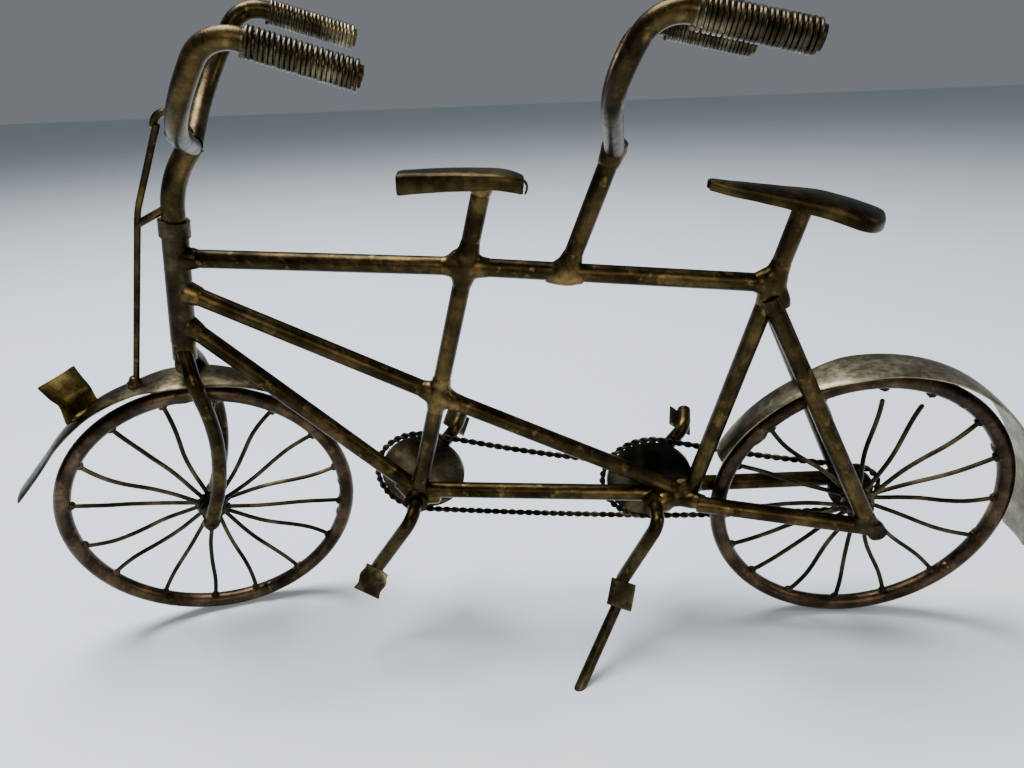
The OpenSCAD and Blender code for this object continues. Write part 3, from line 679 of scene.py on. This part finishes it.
def loop_path(a, ra, ya, b, rb, yb, sag):
    """Evenly spaced points of a wire loop round two discs, a in front of b. sag lowers the straight runs."""
    d = np.array([b[0] - a[0], b[2] - a[2]])
    slope, far = math.atan2(d[1], d[0]), np.linalg.norm(d)
    lift = math.asin((ra - rb) / far)
    up, low = slope + math.pi / 2 - lift, slope - math.pi / 2 + lift
    path = []
    for t in np.linspace(up, low + 2 * math.pi, 60):
        path.append((a[0] + ra * math.cos(t), ya, a[2] + ra * math.sin(t)))
    p = np.array([a[0] + ra * math.cos(low), ya, a[2] + ra * math.sin(low)])
    q = np.array([b[0] + rb * math.cos(low), yb, b[2] + rb * math.sin(low)])
    for s in np.linspace(0, 1, 60)[1:-1]:
        path.append(tuple(mix(p, q, s) - [0, 0, sag[1] * math.sin(math.pi * s)]))
    for t in np.linspace(low, up, 40):
        path.append((b[0] + rb * math.cos(t), yb, b[2] + rb * math.sin(t)))
    p = np.array([b[0] + rb * math.cos(up), yb, b[2] + rb * math.sin(up)])
    q = np.array([a[0] + ra * math.cos(up), ya, a[2] + ra * math.sin(up)])
    for s in np.linspace(0, 1, 60)[1:-1]:
        path.append(tuple(mix(p, q, s) - [0, 0, sag[0] * math.sin(math.pi * s) ** 1.3]))
    path = np.array(path)
    closed = np.vstack([path, path[:1]])
    run = np.concatenate([[0], np.cumsum(np.linalg.norm(np.diff(closed, axis=0), axis=1))])
    even = np.linspace(0, run[-1], int(run[-1] / CHAIN_STEP), endpoint=False)
    return np.stack([np.interp(even, run, closed[:, k]) for k in range(3)], 1), run[-1]


def twisted_chain(name, node, path, length):
    shape = Shape()
    count = len(path)
    ahead = np.roll(path, -1, 0) - np.roll(path, 1, 0)
    ahead /= np.linalg.norm(ahead, axis=1)[:, None]
    side = np.array([0, 1.0, 0]) - ahead * ahead[:, 1:2]
    side /= np.linalg.norm(side, axis=1)[:, None]
    over = np.cross(ahead, side)
    twists = round(length / CHAIN_PITCH)
    for strand in (0, math.pi):
        turns = 2 * math.pi * twists * np.arange(count) / count + strand
        out = np.cos(turns)[:, None] * side + np.sin(turns)[:, None] * over
        sweep(shape, path + out * STRAND_OUT, STRAND_R, 8, closed=True, sides_from=out)
    piece(name, shape, BIKE, "frame", BLACK, (node,), angle=60)


front_loop_end = rear_bracket - [0, 0, 4.6]
front_loop = loop_path(
    front_bracket, DISC_LOOP_R, FRONT_LOOP_Y, front_loop_end, FRONT_LOOP_END_R, FRONT_LOOP_Y, (0.9, 0.25))
rear_loop = loop_path(
    rear_bracket, DISC_LOOP_R, REAR_LOOP_Y[0], [WHEELBASE, 0, 0], SPROCKET_LOOP_R, REAR_LOOP_Y[1], (0.5, 0.4))
twisted_chain("twisted_chain_front", "front_chain", *front_loop)
twisted_chain("twisted_chain_rear", "rear_chain", *rear_loop)


# ---- Saddles ----

def front_saddle():
    """A strip folded down at both sides, with a small hook of sheet at its rear end."""
    end = front_top + POST_FRONT * front_post_way
    place = BIKE @ shift(*end) @ turn("Y", 2.6) @ shift(-23 * 0.64 - 0.9, 0, 0.6)
    shape = Shape()
    grid = []
    for i in range(25):
        t = i / 24
        x = 0.15 + 22.3 * t
        half = 2.1 + 0.9 * math.sin(min(t / 0.82, 1) * math.pi / 2) ** 1.4
        half -= 1.0 * max(0, (t - 0.86) / 0.14) ** 1.6
        crown = 0.35
        drop = 3.3 - 1.1 * t
        fall = 0.25 * (1 - t) - 0.35 * math.sin(math.pi * t) + 1.0 * max(0, (t - 0.78) / 0.22) ** 1.8
        row = []
        for k in range(17):
            s = -1 + 2 * k / 16
            a = abs(s)
            if a < 0.62:
                y, z = half * 0.93 * s / 0.62, -crown * (s / 0.62) ** 2
            else:
                u = (a - 0.62) / 0.38
                y = math.copysign(half * (0.93 + 0.07 * math.sin(min(u * 2, 1) * math.pi / 2)), s)
                z = -crown - drop * u ** 1.05
            wave = 0.10 * rough_noise((x, y, z), 5, 3.0)
            row.append((x, y, z - 0.3 - fall + wave))
        grid.append(row)
    sheet(shape, grid, 0.55)
    hook = [
        (21.9, -0.9, -1.3), (22.8, -1.0, -1.7), (23.1, -1.1, -2.5), (22.95, -1.1, -3.4), (22.6, -1.1, -3.9),
    ]
    strip = []
    for n, p in enumerate(hook):
        wide = 1.1 * (1 - 0.16 * n)
        strip.append([(p[0], p[1] + wide * s, p[2]) for s in (-1, -0.5, 0, 0.5, 1)])
    sheet(shape, strip, 0.45)
    piece("folded_front_saddle", shape, place, "frame", SADDLE, ("front_saddle",), subdivide=1)


def rear_saddle():
    """A sheet rolled open at the nose, widening to a pointed rear corner."""
    end = cluster + POST_REAR * rear_post_way
    place = BIKE @ shift(*end) @ turn("Y", 8.5) @ shift(-32 * 0.56, 0, 0.6)
    shape = Shape()
    grid = []
    for i in range(33):
        t = i / 32
        x = 0.3 + 31.2 * t
        grow = min(t / 0.80, 1)
        half = 1.45 + 4.7 * (grow ** 1.35) - 3.9 * max(0, (t - 0.84) / 0.16) ** 2.0
        crown = 0.25 + 0.9 * grow
        drop = 1.4 + 1.1 * grow - 0.9 * max(0, (t - 0.86) / 0.14)
        fall = 1.9 * max(0, (t - 0.62) / 0.38) ** 1.5
        curl = max(0, 1 - t / 0.10)
        row = []
        for k in range(21):
            s = -1 + 2 * k / 20
            a = abs(s)
            if a < 0.66:
                y, z = half * 0.94 * s / 0.66, -crown * (abs(s) / 0.66) ** 2.2
            else:
                u = (a - 0.66) / 0.34
                bend = 0.06 * math.sin(min(2 * u, 1) * math.pi / 2)
                y = math.copysign(half * (0.94 + bend - 0.45 * curl * u), s)
                z = -crown - drop * u
            wave = 0.12 * rough_noise((x, y, z), 8, 4.0)
            row.append((x, y, z - 0.3 - fall + wave))
        grid.append(row)
    sheet(shape, grid, 0.55)
    piece("folded_rear_saddle", shape, place, "frame", SADDLE, ("rear_saddle",), subdivide=1)


front_saddle()
rear_saddle()


# ---- Mudguards, lamp and pedals ----

def guard(name, place, body, radius, spans, widths, tail, flare, replaced, seed, material):
    """A strip of sheet bent round a wheel, from +X towards +Z. tail is how far each end runs on."""
    start, stop = (math.radians(a) for a in spans)
    middle_line = []
    before, after = tail
    steps = 60
    for i in range(steps + 1):
        a = start + (stop - start) * i / steps
        outward = np.array([math.cos(a), 0, math.sin(a)])
        middle_line.append((radius * outward, outward))

    def run_on(from_point, outward, way, length, bend):
        row = []
        for i in range(1, 15):
            s = length * i / 14
            row.append((from_point + way * s + outward * bend * (i / 14) ** 2, outward))
        return row

    back = np.array([math.sin(start), 0, -math.cos(start)])
    onward = np.array([-math.sin(stop), 0, math.cos(stop)])
    first = run_on(*middle_line[0], back, before, flare[0])
    last = run_on(*middle_line[-1], onward, after, flare[1])
    line = (first[::-1] if before else []) + middle_line + (last if after else [])
    grid = []
    for i, (at, outward) in enumerate(line):
        t = i / (len(line) - 1)
        half = np.interp(t, *widths) / 2
        row = []
        for k in range(11):
            s = -1 + 2 * k / 10
            ripple = 0.22 * rough_noise((t * 40, s * 3, 0), seed, 5)
            row.append(at + outward * (0.3 - 0.45 * s * s + ripple) + np.array([0, half * s, 0]))
        grid.append(row)
    shape = Shape()
    sheet(shape, grid, 0.55)
    piece(name, shape, place, body, material, replaced, subdivide=1)


guard(
    "bent_front_mudguard", STEERED, "steering", FRONT_GUARD_R, (53, 138),
    ((0, 0.10, 0.25, 0.38, 0.46, 0.80, 1), (6.0, 7.4, 9.8, 9.8, 6.6, 6.4, 6.8)),
    (0, 13.5), (0, 0.5), ("front_mudguard",), 2, SHEET)
guard(
    "bent_rear_mudguard", REAR, "frame", REAR_GUARD_R, (8, 158),
    ((0, 0.10, 0.22, 0.7, 0.8, 1), (8.2, 9.6, 10.4, 10.2, 6.6, 6.0)),
    (14.5, 0), (0.2, 0), ("rear_mudguard",), 6, GUARD)


def lamp():
    """A bent sheet that faces forwards."""
    at = math.radians(121)
    foot = shift(GUARD_TOP_R * math.cos(at), 0, GUARD_TOP_R * math.sin(at))
    place = STEERED @ foot @ turn("Z", -38) @ turn("Y", -6)
    profile = [(0.3, -0.1), (0.1, 0.7), (0.15, 2.0), (0.35, 3.4), (0.3, 4.6), (-0.2, 5.4), (-0.75, 6.3),
               (-1.35, 7.3), (-1.85, 8.3), (-1.9, 8.7)]
    shape = Shape()
    grid = []
    for n, (x, z) in enumerate(profile):
        t = n / (len(profile) - 1)
        half = 4.35 - 0.9 * math.sin(math.pi * min(1, t * 1.15)) * (0.6 if t < 0.5 else 0.35)
        row = []
        for k in range(9):
            s = -1 + 2 * k / 8
            dip = 0.35 * s * s * (1 if t > 0.5 else -0.6)
            row.append((x - dip + 0.12 * rough_noise((n, k, 2), 4, 2.5), half * s, z + 0.10 * s * t))
        grid.append(row)
    sheet(shape, grid, 0.55)
    lump(shape, (0.1, 0, 0.3), (1.5, 3.4, 0.8), 7, None, 0.3)
    piece(
        "bent_headlamp_plate", shape, place, "steering", LAMP, ("headlamp_plate",), subdivide=1)


lamp()


def pedal(node, body, torn, seed):
    """A square of sheet on the end of a crank, a little bent."""
    corners = np.unique(corners_of(node).round(3), axis=0)
    centre = (corners.min(0) + corners.max(0)) / 2
    first = corners[0]
    others = sorted((c for c in corners[1:]), key=lambda c: np.linalg.norm(c - first))
    edges = [others[0] - first]
    for c in others[1:]:
        e = c - first
        if all(abs(unit(e) @ unit(f)) < 0.02 for f in edges):
            edges.append(e)
        if len(edges) == 3:
            break
    edges.sort(key=np.linalg.norm)
    thin, across, down = edges
    place = np.eye(4)
    place[:3, 0], place[:3, 1] = unit(across), unit(down)
    place[:3, 2] = np.cross(place[:3, 0], place[:3, 1])
    place[:3, 3] = first + (thin + across + down) / 2
    a, b = np.linalg.norm(across) / 2, np.linalg.norm(down) / 2
    shape = Shape()
    grid = []
    for i in range(13):
        u = -1 + i / 6
        row = []
        for k in range(13):
            v = -1 + k / 6
            x, y = a * u * 0.99, b * v * 0.99
            lift = 0.16 * u * u - 0.12 * v * u + 0.12 * rough_noise((x, y, 0), seed, 3)
            if torn:
                x -= 0.55 * max(0, v - 0.2) * max(0, u) ** 2
                y += 0.35 * math.sin(u * 5 + 1) * max(0, abs(v) - 0.75) * np.sign(v) * 3
                lift += 0.5 * max(0, u * v - 0.3)
            row.append((x, y, lift * 0.6))
        grid.append(row)
    sheet(shape, grid, np.linalg.norm(thin) * 0.9)
    piece(f"bent_{node}", shape, place, body, SHEET, (node,), subdivide=1)


pedal("front_pedal_left", "front_crankset", True, 1)
pedal("front_pedal_right", "front_crankset", False, 2)
pedal("rear_pedal_left", "rear_crankset", False, 3)
pedal("rear_pedal_right", "rear_crankset", False, 4)


# ---- Solder at the joints ----

def braze(name, place, body, at, stubs, bulges=(), seed=0, material=None, flow=26):
    """Solder run between rods. A stub is where a rod leads, how far the solder follows it and its radius."""
    shape = Shape()
    at = np.asarray(at, float)
    for to, long, radius in stubs:
        way = unit(np.asarray(to, float) - at)
        run = np.linspace(-0.05, 1, 12)
        path = [at + way * long * t for t in run]
        thin = [1.08 - 0.30 * max(0, t) ** 1.6 for t in run]
        swell = [radius * (k + 0.12 * rough_noise(p, seed, 1.7)) for k, p in zip(thin, path)]
        sweep(shape, path, swell, 16)
    for centre, radii, way in bulges:
        lump(shape, centre, radii, seed, facing(way), 0.25, 1.1)
    obj = piece(name, shape, place, body, material or SOLDER)
    melt = obj.modifiers.new("melt", "REMESH")
    melt.mode, melt.voxel_size, melt.use_smooth_shade = "VOXEL", 0.26 * MM, True
    run = obj.modifiers.new("run", "SMOOTH")
    run.factor, run.iterations = 0.6, flow
    return obj


NEAR = TUBE_R + 0.42
HEAD_NEAR = HEAD_R * 0.72

down_tube_end = front_bracket + [0, 0, 1.5]
for n, (z, to) in enumerate(((TOP_TUBE_Z, front_top), (LATERAL_Z, cross_at), (DOWN_TUBE_Z, down_tube_end))):
    way = unit(to - on_head(z))
    start = on_head(z) + way * 1.2
    braze(f"solder_head_{n}", BIKE, "frame", start, [
        (to, 3.6, NEAR), (start + HEAD_WAY, 2.0, HEAD_NEAR), (start - HEAD_WAY, 2.0, HEAD_NEAR),
    ], seed=n)
braze("solder_front_seat", BIKE, "frame", front_top, [
    (on_head(TOP_TUBE_Z), 5.2, NEAR), (cluster, 5.0, NEAR), (front_bracket, 5.4, NEAR),
    (front_top + front_post_way, 6.0, NEAR),
], [
    (front_top + [-1.2, 0, 1.2], (2.2, 2.0, 2.2), [1, 0, -1]),
    (front_top + [1.5, 0, 0.2], (2.2, 2.1, 2.2), [1, 0, 0]),
], 10)
braze("solder_front_saddle", BIKE, "frame", front_top + 16.4 * front_post_way, [
    (front_top, 3.0, NEAR),
], [(front_top + 16.2 * front_post_way + [-0.9, 0, 0], (2.2, 2.0, 1.3), [0, 0, 1])], 11, flow=14)
braze("solder_cross", BIKE, "frame", cross_at, [
    (on_head(LATERAL_Z), 4.6, NEAR), (lower, 5.6, NEAR), (front_bracket, 4.6, NEAR), (front_top, 4.8, NEAR),
], [
    (cross_at + [1.6, 0, -0.2], (2.1, 2.1, 2.1), [1, 0, 0]),
    (cross_at + [-1.3, 0, 0.8], (2.1, 2.0, 2.1), [1, 0, 0]),
], 12)
braze("solder_rear_stem", BIKE, "frame", stem_foot, [
    (front_top, 3.8, NEAR), (cluster, 3.6, NEAR), (rear_joint, 5.6, NEAR),
], [(stem_foot + [-0.6, 0, 1.2], (2.3, 2.1, 2.1), [1, 0, 0])], 13)
braze("solder_rear_seat", BIKE, "frame", cluster, [
    (front_top, 4.4, NEAR), (cluster + rear_post_way, 4.8, NEAR), (lower, 5.2, NEAR),
    (STAY_FEET[0] + [0, 0, 1.4], 5.4, NEAR - 0.2), (STAY_FEET[1] + [0, 0, 1.4], 5.4, NEAR - 0.2),
], [(cluster + [-1.2, 0, 1.0], (2.2, 2.1, 2.2), [1, 0, 0])], 14)
braze("solder_rear_saddle", BIKE, "frame", cluster + 15.6 * rear_post_way, [
    (cluster, 2.6, NEAR),
], [(cluster + 15.8 * rear_post_way, (2.4, 2.4, 1.0), rear_post_way)], 15, flow=14)
braze("solder_front_bracket", BIKE, "frame", front_bracket, [
    (front_top, 5.4, NEAR), (on_head(DOWN_TUBE_Z), 5.6, NEAR), (rear_bracket, 5.2, NEAR),
    (front_bracket + [0, 1, 0], 2.9, 2.75), (front_bracket - [0, 1, 0], 2.9, 2.75),
], seed=16)
braze("solder_rear_bracket", BIKE, "frame", mix(rear_bracket, lower, 0.5), [
    (front_bracket, 6.0, NEAR), (lower + rear_post_way, 4.2, NEAR), (lower, 5.4, NEAR + 0.3),
    (rear_bracket + [0, 2.9, 0], 4.6, 2.6), (rear_bracket - [0, 2.9, 0], 4.6, 2.6),
    (lower + [2.6, 3.2, 0], 7.4, NEAR - 0.1), (lower + [2.6, -3.2, 0], 7.4, NEAR - 0.1),
], [(lower + [-1.5, 0, 2.2], (2.3, 2.1, 2.3), [1, 0, 0])], 17)
braze("solder_rear_handlebar", BIKE, "frame", rear_joint, [
    (stem_foot, 3.4, NEAR),
], [(rear_joint + [0.1, 0, 0.3], (2.3, 2.8, 2.2), [0, 0, 1])], 18, flow=18)
for n, foot in enumerate(STAY_FEET):
    braze(f"solder_dropout_{n}", BIKE, "frame", foot + [-0.4, 0, 0.5], [
        (cluster, 3.4, NEAR - 0.1), (lower + [0, foot[1] * 0.4, 0], 3.4, NEAR - 0.1),
    ], [(foot + [0.2, 0, 0.2], (2.0, 1.9, 2.3), [1, 0, 0.3])], 20 + n, DARK, 18)

stem_points = corners_of("stem")
stem_tip = stem_points[np.argsort(stem_points[:, 2])[-12:]].mean(0)
braze("solder_front_handlebar", np.eye(4), "steering", stem_tip, [
    (stem_tip - [0, 0, 3], 1.6, 1.9),
], [(stem_tip + [0, 0, 0.5], (2.4, 2.7, 2.0), [0, 0, 1])], 24, flow=16)
braze("solder_fork", STEERED, "steering", on_head(39.6), [
    (on_head(39.6) + HEAD_WAY, 1.6, 2.2),
], [
    (on_head(38.4) + [0, side * 2.0, -0.6], (2.0, 1.7, 2.3), HEAD_WAY) for side in (-1, 1)
], 25, DARK, 16)
for n, side in enumerate((-1, 1)):
    end = np.array([0, side * 6.2, 0.2])
    braze(f"solder_fork_end_{n}", STEERED, "steering", end, [
        (end + [0, side, 0], 0.9, 1.6),
    ], [(end, (1.9, 1.9, 1.6), [0, 1, 0])], 27 + n, DARK, 10)
rod_points = corners_of("brake_rod")
rod_top = rod_points[np.argsort(rod_points[:, 2])[-8:]].mean(0)
rod_way = unit(rod_top - rod_points[np.argsort(rod_points[:, 2])[:8]].mean(0))
hook = Shape()
hook_route = ((-1.2, 0), (0.3, 0), (1.2, 0.5), (1.6, 1.5), (1.3, 2.3))
wire(hook, [rod_top + rod_way * up + front_x * back for up, back in hook_route], 0.62, seed=4)
piece("brake_rod_hook", hook, np.eye(4), "steering", TUBE)
brake_at = math.radians(100.7)
brake_foot = GUARD_TOP_R * np.array([math.cos(brake_at), 0, math.sin(brake_at)])
braze("solder_brake_foot", STEERED, "steering", brake_foot + [0, 0, 0.3], [
    (brake_foot + [0.3, 0, 4], 1.9, 1.15),
], [(brake_foot + [0, 0, 0.35], (1.7, 1.7, 0.8), [0.3, 0, 1])], 30, flow=10)
